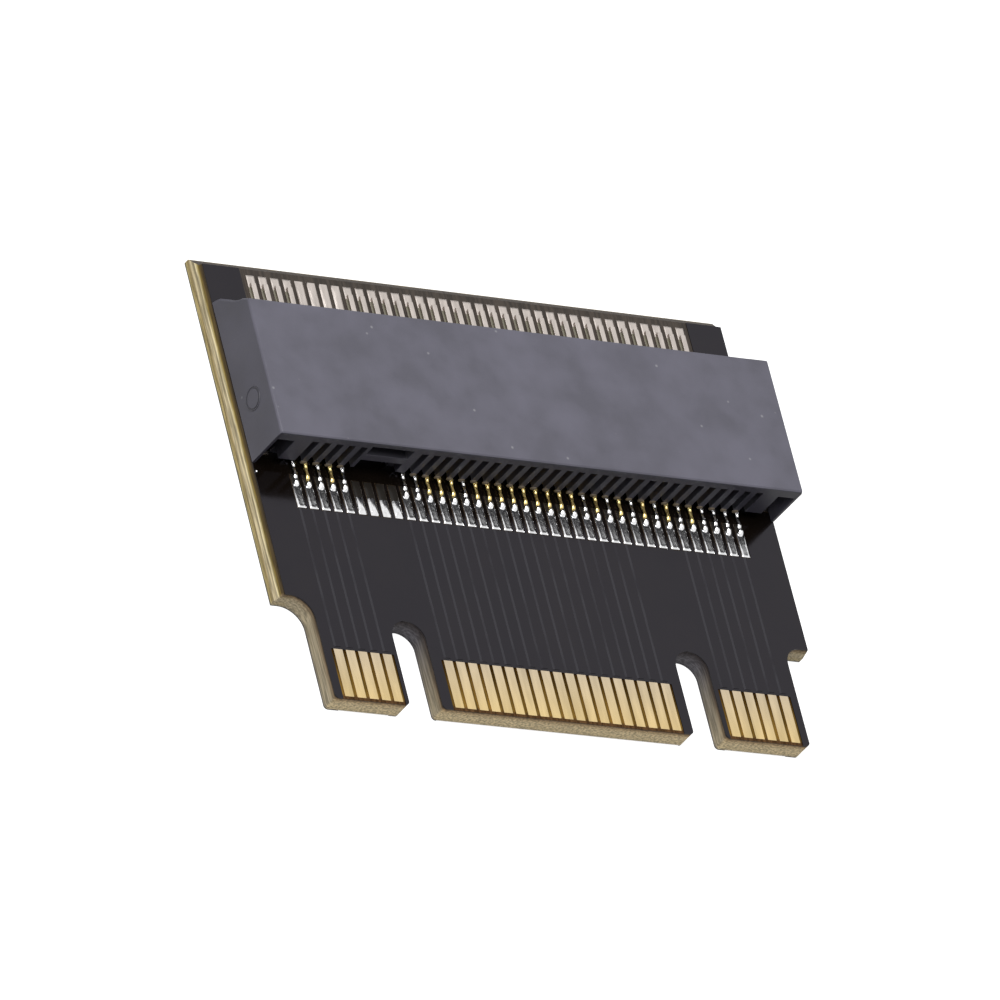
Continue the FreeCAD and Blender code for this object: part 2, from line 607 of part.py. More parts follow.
def make_front_contacts():
    """Floor springs: foot, short tail over the jaw's edge, beam along the floor, bent tip."""
    run = "dim.floor_groove_base + dim.contact_thickness"
    tip = f"{SLOT_BACK} + dim.floor_groove_setback + dim.spring_margin"
    path = [
        (f"{FRONT_PAD_END} - dim.front_toe", FOOT),
        (f"{JAW_EDGE} + dim.front_heel", FOOT),
        (f"{JAW_EDGE} + dim.front_overhang", run),
        (f"{tip} + dim.spring_tip + dim.spring_run", run),
        (f"{tip} + dim.spring_tip", "dim.slot_floor + dim.spring_lift - dim.contact_thickness / 2"),
        (tip, "dim.slot_floor - dim.contact_thickness / 2"),
    ]
    for group, pins in FRONT_GROUPS.items():
        body = new_part(f"front_contacts_{group}", "dim.board_thickness")
        repeat(body, [bent_strip(body, f"front_{group}", path, pins[0])], pins)


def make_hold_downs():
    """Bent metal nails: a foot on its pad and a blade up inside the end pocket."""
    foot_start = f"{NAIL_PAD_START} + dim.pad_margin"
    thick = "dim.nail_thickness"
    height = "dim.pocket_height - dim.nail_headroom"
    for label, side in (("left_hold_down", -1), ("right_hold_down", 1)):
        body = new_part(label, "dim.board_thickness")
        sketch = plane_sketch(body, f"{label}_profile", "YZ_Plane", pocket_x(side))
        draw(sketch, [
            (foot_start, "0"),
            (f"{NAIL_PAD_END} - {thick}", "0"),
            (NAIL_PAD_END, thick),
            (NAIL_PAD_END, height),
            (f"{NAIL_PAD_END} - {thick}", height),
            (f"{NAIL_PAD_END} - {thick}", thick),
            (foot_start, thick),
        ])
        extrude(body, "Pad", sketch, f"{POCKET_WIDTH} - 2 * dim.nail_clearance", both_ways=True)


def make_solder():
    """Solder at each foot, drawn down to the pad's end, and tin on the bare pads."""
    film = "dim.solder_film"
    width = "dim.pad_width - dim.pad_margin"
    near = "dim.rear_pad_start"
    toe = f"{SOCKET_REAR} - dim.rear_toe"
    rear_joint = [
        (near, "0"),
        (f"{near} + dim.pad_length", "0"),
        (f"{near} + dim.pad_length", film),
        (toe, film),
        (toe, "dim.fillet_height"),
        (f"{toe} - dim.fillet_run / 2", "dim.fillet_height - dim.solder_film"),
        (f"{toe} - dim.fillet_run", film),
        (near, f"{film} / 2"),
    ]
    far = FRONT_PAD_END
    toe = f"{far} - dim.front_toe"
    front_joint = [
        (f"{far} - dim.pad_length", "0"),
        (far, "0"),
        (far, f"{film} / 2"),
        (toe, "dim.fillet_height - dim.solder_film"),
        (toe, film),
        (f"{far} - dim.pad_length", film),
    ]
    rows = (("rear", rear_joint, REAR_GROUPS), ("front", front_joint, FRONT_GROUPS))
    for row, joint, groups in rows:
        body = new_part(f"{row}_solder_joints", "dim.board_thickness")
        for group, pins in groups.items():
            profile_row(body, "Pad", f"{row}_joint_{group}", joint, width, pins)
    body = new_part("bare_pad_solder", "dim.board_thickness")
    inner = f"{far} - dim.pad_length"
    for row, start, pins in (("rear", near, REAR_BARE), ("front", inner, FRONT_BARE)):
        tin = [
            (start, "0"),
            (f"{start} + dim.pad_length", "0"),
            (f"{start} + dim.pad_length - dim.tin_slope", "dim.tin_height"),
            (f"{start} + dim.tin_slope", "dim.tin_height"),
        ]
        profile_row(body, "Pad", f"{row}_tin", tin, width, pins)


make_laminate()
make_masks()
make_copper()
make_housing()
make_rear_contacts()
make_front_contacts()
make_hold_downs()
make_solder()
doc.recompute()

for item in doc.Objects:
    if "Invalid" in item.State or "Error" in item.State:
        raise RuntimeError(f"{item.Label} failed: {item.State}")
for part in parts:
    if part.Shape.isNull() or not part.Shape.isValid():
        raise RuntimeError(f"{part.Label} has no valid shape")

os.makedirs("parts", exist_ok=True)
for part in parts:
    part.Shape.exportStep(f"parts/{part.Label}.step")
    box = part.Shape.BoundBox
    low = ", ".join(f"{number:.3f}" for number in (box.XMin, box.YMin, box.ZMin))
    high = ", ".join(f"{number:.3f}" for number in (box.XMax, box.YMax, box.ZMax))
    solids = len(part.Shape.Solids)
    print(f"{part.Label}: {solids} solids, {part.Shape.Volume:.4f} mm3, {low} to {high}")
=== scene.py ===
"""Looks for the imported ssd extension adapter, run by the renderer as a script.

Lengths are in metres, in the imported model's own frame: X across the card, +Y from the
card edge to the socket's mouth, +Z out of the component face.
"""
import math
import random

import bmesh
import bpy
from bpy.props import FloatProperty, FloatVectorProperty, IntProperty, PointerProperty
from mathutils import Matrix, Vector


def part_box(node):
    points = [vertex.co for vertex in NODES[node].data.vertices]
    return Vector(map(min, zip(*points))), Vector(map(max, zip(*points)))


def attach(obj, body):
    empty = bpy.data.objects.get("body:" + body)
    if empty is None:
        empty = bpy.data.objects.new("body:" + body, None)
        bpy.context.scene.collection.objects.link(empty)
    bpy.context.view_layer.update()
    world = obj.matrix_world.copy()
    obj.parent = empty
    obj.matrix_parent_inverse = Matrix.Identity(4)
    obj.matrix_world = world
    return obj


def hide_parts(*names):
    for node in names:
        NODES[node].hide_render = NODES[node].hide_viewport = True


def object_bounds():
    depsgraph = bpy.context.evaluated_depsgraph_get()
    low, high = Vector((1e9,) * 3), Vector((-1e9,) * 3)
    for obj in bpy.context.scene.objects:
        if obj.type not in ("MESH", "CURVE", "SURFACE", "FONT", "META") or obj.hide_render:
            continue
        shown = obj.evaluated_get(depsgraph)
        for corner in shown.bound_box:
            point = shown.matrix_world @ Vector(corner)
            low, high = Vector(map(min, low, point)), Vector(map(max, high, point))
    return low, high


bl_info = {
    "name": "Extension Adapter Looks",
    "version": (1, 0, 0),
    "blender": (4, 5, 0),
    "location": "3D View > Sidebar > Adapter",
    "description": "Finishes, traces, formed contacts and solder of an ssd extension adapter",
    "category": "Object",
}

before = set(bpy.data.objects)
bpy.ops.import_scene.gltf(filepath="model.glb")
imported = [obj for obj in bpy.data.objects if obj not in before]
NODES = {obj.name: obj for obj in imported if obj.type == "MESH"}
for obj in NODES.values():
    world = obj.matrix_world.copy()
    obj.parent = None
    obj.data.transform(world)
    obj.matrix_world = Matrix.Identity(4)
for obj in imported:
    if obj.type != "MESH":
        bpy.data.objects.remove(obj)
CAD_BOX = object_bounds()
BODY = "root"
MM = 0.001

# Contacts are numbered from the right, odd in the rear row and even in the front row.
PITCH = 0.5 * MM
CENTRE_PIN = 38
REAR_CONTACTS = [*range(75, 66, -2), *range(57, 0, -2)]
FRONT_CONTACTS = [*range(74, 67, -2), *range(58, 1, -2)]
REAR_BARE = range(65, 58, -2)
FRONT_BARE = range(66, 59, -2)
FRONT_FINGERS = [*range(75, 66, -2), *range(57, 20, -2), *range(11, 0, -2)]
BACK_FINGERS = [*range(74, 67, -2), *range(58, 19, -2), *range(10, 1, -2)]
# Rear contacts whose tails the solder has run up.
WICKED = {75, 71, 67, 57, 55, 47, 27, 23, 19, 15, 11, 7, 5, 3, 1}

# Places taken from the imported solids.
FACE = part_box("front_solder_mask")[1].z
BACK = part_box("back_solder_mask")[0].z
FINGER_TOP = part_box("front_fingers_middle")[1].y
REAR_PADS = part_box("rear_pads")
FRONT_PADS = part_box("front_pads")
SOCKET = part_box("socket_housing")
REAR_WALL = SOCKET[0].y
REAR_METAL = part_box("rear_contacts_main")
FRONT_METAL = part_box("front_contacts_main")
CARD_EDGE = CAD_BOX[0].y
SHOULDERS = CARD_EDGE + 4 * MM

# Resin that shows between the pads, and the plies of each kind of edge as stops of
# height, from the back face to the component face, and colour.
RESIN = (0.042, 0.027, 0.012)
SNAPPED_PLIES = [
    (0.0, (0.43, 0.35, 0.17)), (0.10, (0.54, 0.45, 0.20)), (0.17, (0.52, 0.40, 0.17)),
    (0.25, (0.37, 0.28, 0.12)), (0.31, (0.43, 0.34, 0.18)), (0.38, (0.61, 0.52, 0.33)),
    (0.46, (0.56, 0.47, 0.28)), (0.53, (0.33, 0.27, 0.17)), (0.60, (0.78, 0.68, 0.42)),
    (0.66, (0.54, 0.44, 0.22)), (0.72, (0.24, 0.17, 0.04)), (0.80, (0.11, 0.073, 0.022)),
    (0.94, RESIN),
]
ROUTED_PLIES = [
    (0.0, (0.50, 0.42, 0.28)), (0.2, (0.66, 0.53, 0.31)), (0.5, (0.68, 0.55, 0.33)),
    (0.7, (0.60, 0.46, 0.26)), (0.85, (0.36, 0.24, 0.12)), (0.94, RESIN),
]
# Darker plies for the walls of the notches: painted shade, deepest at their ends.
NOTCH_SHADE_PLIES = [(0.0, (0.10, 0.092, 0.09)), (0.4, (0.21, 0.19, 0.185)), (0.94, (0.05, 0.035, 0.03))]
# Darker plies for the scored top end: painted shade on every face but its left edge.
SCORED_SHADE_PLIES = [
    (0.30, (0.34, 0.26, 0.12)), (0.36, (0.060, 0.050, 0.042)), (1.0, (0.036, 0.028, 0.022)),
]
# Between the fingers, from the card edge to the top of the fingers.
FINGER_GAPS = [
    (0.05, (0.078, 0.041, 0.018)), (0.11, (0.166, 0.098, 0.021)), (1.0, (0.032, 0.015, 0.0023)),
]

# Radius of the bends of a contact.
BEND = 0.08 * MM


class CardSettings(bpy.types.PropertyGroup):
    """The board, its lacquer and its copper."""

    lacquer: FloatVectorProperty(
        name="Lacquer", description="Black lacquer on bare laminate",
        subtype="COLOR", size=3, min=0, max=1, default=(0.0038, 0.0026, 0.0018),
    )
    # Colour of the painted highlight on the left slope of a trace.
    trace_lacquer_glint: FloatVectorProperty(
        name="Lacquer on Copper", description="Black lacquer on the slope of a trace",
        subtype="COLOR", size=3, min=0, max=1, default=(0.023, 0.022, 0.023),
    )
    gold: FloatVectorProperty(
        name="Gold", description="Hard gold on the fingers",
        subtype="COLOR", size=3, min=0, max=1, default=(0.727, 0.55, 0.27),
    )
    tin: FloatVectorProperty(
        name="Tin", description="Tinned pads",
        subtype="COLOR", size=3, min=0, max=1, default=(0.56, 0.505, 0.465),
    )
    trace_width: FloatProperty(
        name="Trace Width", description="Traces under the lacquer",
        subtype="DISTANCE", unit="LENGTH", default=0.28 * MM,
    )
    trace_height: FloatProperty(
        name="Trace Height", description="How far a trace lifts the lacquer",
        subtype="DISTANCE", unit="LENGTH", default=0.012 * MM,
    )
    via_width: FloatProperty(
        name="Via Width", description="Lacquered rings where a trace changes sides",
        subtype="DISTANCE", unit="LENGTH", default=0.42 * MM,
    )


class SocketSettings(bpy.types.PropertyGroup):
    """The socket's moulding, contacts and solder."""

    moulding: FloatVectorProperty(
        name="Moulding", description="Glass-filled black polymer",
        subtype="COLOR", size=3, min=0, max=1, default=(0.085, 0.082, 0.107),
    )
    contact: FloatVectorProperty(
        name="Contact", description="Gold-plated contacts",
        subtype="COLOR", size=3, min=0, max=1, default=(0.98, 0.74, 0.31),
    )
    solder: FloatVectorProperty(
        name="Solder", description="Bright solder",
        subtype="COLOR", size=3, min=0, max=1, default=(0.84, 0.84, 0.85),
    )
    edge_radius: FloatProperty(
        name="Edge Radius", description="Soft edges of the moulding",
        subtype="DISTANCE", unit="LENGTH", default=0.022 * MM,
    )
    contact_width: FloatProperty(
        name="Contact Width", description="Stamped contacts",
        subtype="DISTANCE", unit="LENGTH", default=0.2 * MM,
    )
    contact_thickness: FloatProperty(
        name="Contact Thickness", description="Stamped contacts",
        subtype="DISTANCE", unit="LENGTH", default=0.08 * MM,
    )
    channel_height: FloatProperty(
        name="Channel Height", description="Room for the tails under the comb",
        subtype="DISTANCE", unit="LENGTH", default=0.42 * MM,
    )
    neck_width: FloatProperty(
        name="Neck Width", description="Narrow part of a rear contact's tail",
        subtype="DISTANCE", unit="LENGTH", default=0.08 * MM,
    )
    tail_width: FloatProperty(
        name="Tail Width", description="Rear contacts below their slits",
        subtype="DISTANCE", unit="LENGTH", default=0.13 * MM,
    )


class StageSettings(bpy.types.PropertyGroup):
    """The camera, the floor and the light."""

    distance: FloatProperty(
        name="Distance", description="Camera to the middle of the component face",
        subtype="DISTANCE", unit="LENGTH", default=0.49952,
    )
    heading: FloatProperty(
        name="Heading", description="Where the camera looks, from +Y towards +X",
        subtype="ANGLE", unit="ROTATION", default=math.radians(49.196),
    )
    elevation: FloatProperty(
        name="Elevation", description="How far the camera looks down",
        subtype="ANGLE", unit="ROTATION", default=math.radians(43.106),
    )
    roll: FloatProperty(
        name="Roll", description="Turn of the camera about its own axis",
        subtype="ANGLE", unit="ROTATION", default=math.radians(44.844),
    )
    lens: FloatProperty(
        name="Lens", description="Focal length in millimetres on a 36 mm sensor", default=520.7,
    )
    shift: FloatVectorProperty(
        name="Shift", description="Framing of the view", size=2, default=(-0.01757, -0.00149),
    )
    ambient: FloatProperty(
        name="Ambient", description="Strength of the world's light", default=0.2,
    )
    key_power: FloatProperty(
        name="Key Light", description="Wide soft light from nearly overhead",
        subtype="POWER", unit="POWER", default=3.5,
    )
    seed: IntProperty(
        name="Seed", description="Start of the small differences between like joints", default=67,
    )


def pin_x(pin):
    """Place of a contact across the card."""
    return (CENTRE_PIN - pin) * PITCH / 2


def settings():
    """The scene's settings for the card, the socket and the stage."""
    scene = bpy.context.scene
    return scene.adapter_card, scene.adapter_socket, scene.adapter_stage


def add_node(finish, kind, inputs=None, **options):
    """Add a node to a material or world and set its options and unlinked inputs."""
    made = finish.node_tree.nodes.new(kind)
    for name, option in options.items():
        setattr(made, name, option)
    for name, amount in (inputs or {}).items():
        made.inputs[name].default_value = amount
    return made


def join(finish, output, target):
    """Link an output socket to an input socket."""
    finish.node_tree.links.new(output, target)


def new_finish(name, colour, metallic, roughness, **fixed):
    """A material with one shader whose fixed values are set on its own sockets."""
    finish = bpy.data.materials.new(name)
    finish.use_nodes = True
    shader = finish.node_tree.nodes["Principled BSDF"]
    shader.inputs["Base Color"].default_value = (*colour, 1)
    shader.inputs["Metallic"].default_value = metallic
    shader.inputs["Roughness"].default_value = roughness
    for socket, amount in fixed.items():
        shader.inputs[socket.replace("_", " ")].default_value = amount
    return finish, shader


def noise(finish, grain, stretch=(1, 1, 1), detail=3):
    """A noise on the object's own coordinates whose grain is a length in metres."""
    places = add_node(finish, "ShaderNodeTexCoord")
    mapping = add_node(finish, "ShaderNodeMapping", {"Scale": stretch})
    texture = add_node(finish, "ShaderNodeTexNoise", {"Scale": 1 / grain, "Detail": detail})
    join(finish, places.outputs["Object"], mapping.inputs["Vector"])
    join(finish, mapping.outputs["Vector"], texture.inputs["Vector"])
    return texture.outputs["Fac"]


def spread(finish, factor, low, high, start=0.3, end=0.7):
    """Map the useful part of a factor on to a range."""
    made = add_node(finish, "ShaderNodeMapRange", {
        "From Min": start, "From Max": end, "To Min": low, "To Max": high,
    })
    join(finish, factor, made.inputs["Value"])
    return made.outputs["Result"]


def ramp(finish, factor, stops):
    """Colours along a factor, from stops of place and colour."""
    made = add_node(finish, "ShaderNodeValToRGB")
    elements = made.color_ramp.elements
    for element, (place, colour) in zip(elements, (stops[0], stops[-1])):
        element.position = place
        element.color = (*colour, 1)
    for place, colour in stops[1:-1]:
        elements.new(place).color = (*colour, 1)
    join(finish, factor, made.inputs["Fac"])
    return made.outputs["Color"]


def shade(colour, amount):
    """A colour made lighter or darker by a factor."""
    return tuple(min(1, channel * amount) for channel in colour)


def tint(finish, shader, factor, colour, kind="MULTIPLY"):
    """Lay a colour over the base colour as far as a factor goes."""
    mix = add_node(
        finish, "ShaderNodeMix", {"B": (*colour, 1)}, data_type="RGBA", blend_type=kind,
    )
    join(finish, factor, mix.inputs["Factor"])
    join(finish, shader.inputs["Base Color"].links[0].from_socket, mix.inputs["A"])
    join(finish, mix.outputs["Result"], shader.inputs["Base Color"])


def place_parts(finish, kind="Object"):
    """The X, Y and Z of each point, or of its normal, in the object's own frame."""
    places = add_node(finish, "ShaderNodeTexCoord")
    parts = add_node(finish, "ShaderNodeSeparateXYZ")
    join(finish, places.outputs[kind], parts.inputs["Vector"])
    return parts.outputs


def aside(finish, place):
    """Distance from the card's middle line."""
    made = add_node(finish, "ShaderNodeMath", operation="ABSOLUTE")
    join(finish, place["X"], made.inputs[0])
    return made.outputs["Value"]


def product(finish, first, *others):
    """The product of some factors."""
    for other in others:
        made = add_node(finish, "ShaderNodeMath", operation="MULTIPLY")
        join(finish, first, made.inputs[0])
        join(finish, other, made.inputs[1])
        first = made.outputs["Value"]
    return first


def relief(finish, shader, pattern, depth):
    """Raise the surface by a pattern, on top of the relief that it has."""
    bump = add_node(finish, "ShaderNodeBump", {"Distance": depth})
    join(finish, pattern, bump.inputs["Height"])
    if shader.inputs["Normal"].is_linked:
        join(finish, shader.inputs["Normal"].links[0].from_socket, bump.inputs["Normal"])
    join(finish, bump.outputs["Normal"], shader.inputs["Normal"])


def mottle(finish, shader, factor, colour, low, high):
    """Let the base colour vary between two shades of itself."""
    stops = [(0.3, shade(colour, low)), (0.7, shade(colour, high))]
    join(finish, ramp(finish, factor, stops), shader.inputs["Base Color"])


def lacquer_finish(name, colour):
    """Glossy black lacquer with a fine orange peel and a few dull patches."""
    finish, shader = new_finish(name, colour, 0, 0.12, IOR=1.41, Specular_Tint=(0.82, 0.79, 1, 1))
    mottle(finish, shader, noise(finish, 1.6 * MM), colour, 0.8, 1.25)
    haze = noise(finish, 2.4 * MM, detail=5)
    join(finish, spread(finish, haze, 0.09, 0.19), shader.inputs["Roughness"])
    relief(finish, shader, noise(finish, 0.35 * MM), 0.0010 * MM)
    relief(finish, shader, noise(finish, 0.07 * MM), 0.0005 * MM)
    return finish, shader


def trace_finish(lacquer, slope):
    """Lacquer over a trace, with a painted highlight in patches on the slope at its left side."""
    finish, shader = lacquer_finish("trace_lacquer_glint", lacquer)
    # Painted highlight: slopes turned left, towards the light, are lighter in patches.
    left = spread(finish, place_parts(finish, "Normal")["X"], 1, 0, -0.14, -0.04)
    patches = spread(finish, noise(finish, 0.5 * MM, (1, 0.3, 1), 4), 0.25, 1.6)
    tint(finish, shader, product(finish, left, patches), slope, "MIX")
    return finish


def metal_finish(name, colour, roughness, streak, grain, depth):
    """Plated or soldered metal with streaks along Y and a fine relief."""
    finish, shader = new_finish(name, colour, 1, roughness)
    mottle(finish, shader, noise(finish, grain, (1, streak, 1)), colour, 0.86, 1.1)
    wear_and_groove_shade = noise(finish, grain / 3, (1, streak, 1), 4)
    dulled = spread(finish, wear_and_groove_shade, roughness * 0.7, roughness * 1.4)
    join(finish, dulled, shader.inputs["Roughness"])
    relief(finish, shader, noise(finish, grain / 2, (1, streak, 1)), depth)
    return finish


def blend(finish, factor, first, second):
    """Mix two colours by a factor."""
    mix = add_node(finish, "ShaderNodeMix", data_type="RGBA")
    join(finish, factor, mix.inputs["Factor"])
    join(finish, first, mix.inputs["A"])
    join(finish, second, mix.inputs["B"])
    return mix.outputs["Result"]


def combine(finish, kind, first, second):
    """Combine two factors by a kind of sum."""
    made = add_node(finish, "ShaderNodeMath", operation=kind)
    join(finish, first, made.inputs[0])
    join(finish, second, made.inputs[1])
    return made.outputs["Value"]


def finger_finish(name, colour):
    """Hard gold that turns paler towards the lacquer."""
    finish = metal_finish(name, colour, 0.24, 0.15, 0.3 * MM, 0.002 * MM)
    shader = finish.node_tree.nodes["Principled BSDF"]
    upper = spread(finish, place_parts(finish)["Y"], 0, 1, CARD_EDGE + 0.2 * MM, FINGER_TOP)
    tint(finish, shader, upper, (0.85, 0.93, 1.33))
    return finish


def laminate_finish():
    """Glass-epoxy laminate whose plies show as bands on the cut edges, with painted shade in the
    notches and on the scored top end.
    """
    finish, shader = new_finish("laminate", (0.3, 0.25, 0.14), 0, 0.6, Specular_IOR_Level=0.25)
    place, facing = place_parts(finish), place_parts(finish, "Normal")
    wander = spread(finish, noise(finish, 0.9 * MM, (1, 1, 3), 4), -0.014 * MM, 0.014 * MM)
    height = combine(finish, "ADD", place["Z"], wander)
    ply = spread(finish, height, 0, 1, BACK, FACE)
    # The tongue is routed, and the rest of the outline is snapped.
    tongue = spread(finish, place["Y"], 1, 0, SHOULDERS - 0.05 * MM, SHOULDERS + 0.1 * MM)
    snapped, routed = ramp(finish, ply, SNAPPED_PLIES), ramp(finish, ply, ROUTED_PLIES)
    edges = blend(finish, tongue, snapped, routed)
    # Painted shade: the walls of the notches take darker plies, more so towards their ends, deep
    # in the notches.
    inside = spread(finish, aside(finish, place), 1, 0, 8 * MM, 8.5 * MM)
    depth = spread(finish, place["Y"], 0, 1, CARD_EDGE + 0.3 * MM, CARD_EDGE + 3.1 * MM)
    notch_shade = product(finish, inside, depth, tongue)
    edges = blend(finish, notch_shade, edges, ramp(finish, ply, NOTCH_SHADE_PLIES))
    # The top end is scored; painted shade darkens its faces, all but those turned left, towards
    # the light.
    top_end = spread(finish, place["Y"], 0, 1, 6.0 * MM, 6.4 * MM)
    scored_shade = product(finish, top_end, spread(finish, facing["X"], 0, 1, -0.6, -0.3))
    edges = blend(finish, scored_shade, edges, ramp(finish, ply, SCORED_SHADE_PLIES))
    along = spread(finish, place["Y"], 0, 1, CARD_EDGE, FINGER_TOP)
    flat = product(finish, tongue, spread(finish, facing["Z"], 0, 1, 0.6, 0.9))
    edges = blend(finish, flat, edges, ramp(finish, along, FINGER_GAPS))
    join(finish, spread(finish, flat, 0.25, 0, 0, 1), shader.inputs["Specular IOR Level"])
    fibres = noise(finish, 0.1 * MM, (1, 0.08, 1.5), 5)
    mix = add_node(finish, "ShaderNodeMix", {"Factor": 1}, data_type="RGBA", blend_type="MULTIPLY")
    join(finish, edges, mix.inputs["A"])
    join(finish, spread(finish, fibres, 0.64, 1.32, 0.39, 0.61), mix.inputs["B"])
    join(finish, mix.outputs["Result"], shader.inputs["Base Color"])
    # The tongue's side walls are greyer than its end.
    sides = spread(finish, place["Y"], 0, 1, CARD_EDGE + 0.03 * MM, CARD_EDGE + 0.07 * MM)
    upright = spread(finish, facing["Z"], 1, 0, 0.3, 0.6)
    tint(finish, shader, product(finish, tongue, sides, upright), (0.64, 0.67, 0.76))
    relief(finish, shader, noise(finish, 0.12 * MM, (1, 0.4, 1), 4), 0.010 * MM)
    return finish


def moulding_finish(colour):
    """Black glass-filled polymer with flow streaks, pale specks, light scuffs, and painted shade
    on its rear wall and in its slits.
    """
    finish, shader = new_finish("moulding", colour, 0, 0.42)
    shades = ramp(finish, noise(finish, 1.8 * MM, detail=7), [
        (0.34, shade(colour, 0.82)), (0.5, colour), (0.66, shade(colour, 1.14)),
    ])
    join(finish, shades, shader.inputs["Base Color"])
    places = add_node(finish, "ShaderNodeTexCoord")
    cells = add_node(finish, "ShaderNodeTexVoronoi", {"Scale": 1 / MM})
    join(finish, places.outputs["Object"], cells.inputs["Vector"])
    specks = spread(finish, cells.outputs["Distance"], 0.2, 0, 0.03, 0.07)
    tint(finish, shader, specks, (0.6, 0.6, 0.6), "MIX")
    # Painted shade: the rear wall, turned away from the light, and the insides of its slits are
    # darker than the rest.
    place = place_parts(finish)
    rear = spread(finish, place["Y"], 1, 0, REAR_WALL + 0.010 * MM, REAR_WALL + 0.018 * MM)
    tint(finish, shader, rear, (0.27, 0.26, 0.3))
    slit_shade = product(
        finish,
        spread(finish, place["Y"], 1, 0, REAR_WALL + 0.7 * MM, REAR_WALL + 0.75 * MM),
        spread(finish, aside(finish, place), 1, 0, 10.2 * MM, 10.3 * MM),
        spread(finish, place["Z"], 1, 0, SOCKET[1].z - 0.3 * MM, SOCKET[1].z - 0.2 * MM),
    )
    tint(finish, shader, combine(finish, "SUBTRACT", slit_shade, rear), (0.2, 0.2, 0.2))
    scuffs = spread(finish, noise(finish, 0.9 * MM, detail=6), 0.36, 0.52)
    join(finish, scuffs, shader.inputs["Roughness"])
    relief(finish, shader, noise(finish, 0.05 * MM, detail=2), 0.0015 * MM)
    relief(finish, shader, noise(finish, 0.6 * MM, detail=4), 0.006 * MM)
    return finish


def new_piece(form, name, finish, replaced=(), sharp=None):
    """Make a finished form a piece of the object that rides on its body."""
    mesh = bpy.data.meshes.new(name)
    for face in form.faces:
        face.smooth = True
    form.to_mesh(mesh)
    form.free()
    if sharp is not None:
        mesh.set_sharp_from_angle(angle=sharp)
    for layer in finish if isinstance(finish, tuple) else (finish,):
        mesh.materials.append(layer)
    piece = bpy.data.objects.new(name, mesh)
    bpy.context.scene.collection.objects.link(piece)
    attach(piece, BODY)
    if replaced:
        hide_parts(*replaced)
    return piece


def give_finish(finish, *names):
    """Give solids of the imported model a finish."""
    for name in names:
        mesh = NODES[name].data
        mesh.materials.clear()
        mesh.materials.append(finish)


def ridge(form, low, high, slope):
    """A low bar between two corners that slopes up from its left side."""
    low, high = Vector(low), Vector(high)
    place = Matrix.Translation((low + high) / 2) @ Matrix.Diagonal((*(high - low), 1))
    for corner in bmesh.ops.create_cube(form, size=1, matrix=place)["verts"]:
        if corner.co.z > (low.z + high.z) / 2 and corner.co.x < (low.x + high.x) / 2:
            corner.co.x += slope


def extend(form, face, step, **options):
    """Draw an end face straight on and give the new end face."""
    made = bmesh.ops.extrude_face_region(form, geom=[face], **options)["geom"]
    corners = [item for item in made if isinstance(item, bmesh.types.BMVert)]
    bmesh.ops.translate(form, verts=corners, vec=step)
    return next(item for item in made if isinstance(item, bmesh.types.BMFace))


def stepped_disc(form, place, radius, segments, steps):
    """A closed disc, sunk a little, whose face goes inwards in steps of width and height."""
    sunk = Vector((0, 0, 0.02 * MM))
    made = bmesh.ops.create_circle(
        form, cap_ends=True, segments=segments, radius=radius,
        matrix=place @ Matrix.Translation(-sunk),
    )["verts"]
    base = made[0].link_faces[0]
    face = extend(form, base, place.to_3x3() @ sunk, use_keep_orig=True)
    for inset, lift in steps:
        bmesh.ops.inset_region(form, faces=[face], thickness=inset, depth=lift)
    bmesh.ops.recalc_face_normals(form, faces=form.faces)


def form_strip(form, route, width, thickness, tail_top):
    """Form a strip along a route of Y, Z and bend radius, finely divided below a height."""
    across = Vector((1, 0, 0))
    points = [Vector((0, along, up)) for along, up, _ in route]
    headings = [(after - before).normalized() for before, after in zip(points, points[1:])]
    turn = headings[0].to_track_quat("Z", "Y").to_matrix().to_4x4()
    size = Matrix.Diagonal((width, thickness, 1, 1))
    start = bmesh.ops.create_grid(
        form, x_segments=1, y_segments=1, size=0.5,
        matrix=Matrix.Translation(points[0]) @ turn @ size,
    )["verts"]
    face = start[0].link_faces[0]
    place = points[0]
    for number in range(1, len(route) - 1):
        corner, radius = points[number], route[number][2]
        into, out_of = headings[number - 1], headings[number]
        angle = into.angle(out_of)
        side = math.copysign(1, into.cross(out_of).x)
        bend = corner - into * radius * math.tan(angle / 2)
        cuts = 6 if corner.z < tail_top else 1
        for _ in range(cuts):
            face = extend(form, face, (bend - place) / cuts)
        made = bmesh.ops.spin(
            form, geom=[face], cent=bend + across.cross(into) * radius * side,
            axis=across * side, angle=angle, steps=max(2, round(math.degrees(angle) / 12)),
        )["geom_last"]
        face = next(item for item in made if isinstance(item, bmesh.types.BMFace))
        place = corner + out_of * radius * math.tan(angle / 2)
    extend(form, face, points[-1] - place)


